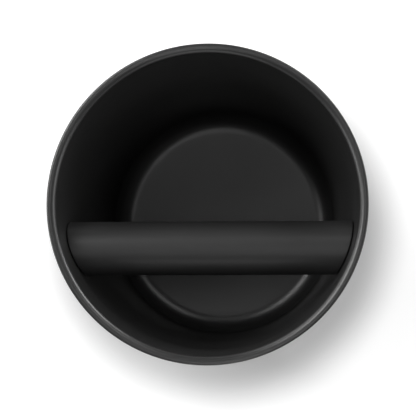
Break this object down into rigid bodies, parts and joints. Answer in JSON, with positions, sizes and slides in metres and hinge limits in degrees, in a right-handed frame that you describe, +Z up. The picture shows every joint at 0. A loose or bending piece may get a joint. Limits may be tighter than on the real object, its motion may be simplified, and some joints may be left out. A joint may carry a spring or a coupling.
{
  "type": "espresso knock box",
  "caption": "Round, tapered black knock box: an open moulded bin with a rubber-covered knock bar that lifts out of saddles in the wall, and a rubber grip ring under its foot.",
  "frame": {"origin": "centre of the bin on the surface it stands on", "axes": "+Z up out of the bin's mouth; the knock bar runs along X; -Y is the side the bar sits towards, facing the user"},
  "size_m": [0.15, 0.15, 0.145],
  "materials": {
    "bin_plastic": "satin moulded black with a fine texture",
    "ring_rubber": "matte black",
    "bar_rubber": "soft matte black",
    "core_steel": "drawn rod",
    "plug_nylon": "moulded black"
  },
  "bodies": {
    "bin": {"bin_shell": "bin_plastic", "base_ring": "ring_rubber"},
    "knock_bar": {"bar_sleeve": "bar_rubber", "bar_core": "core_steel", "bar_end_plug_left": "plug_nylon", "bar_end_plug_right": "plug_nylon"}
  },
  "joints": [
    {"name": "bar_lift", "type": "slide", "parent": "bin", "child": "knock_bar", "axis": [0, 0, 1], "range_m": [0, 0.055]}
  ]
}
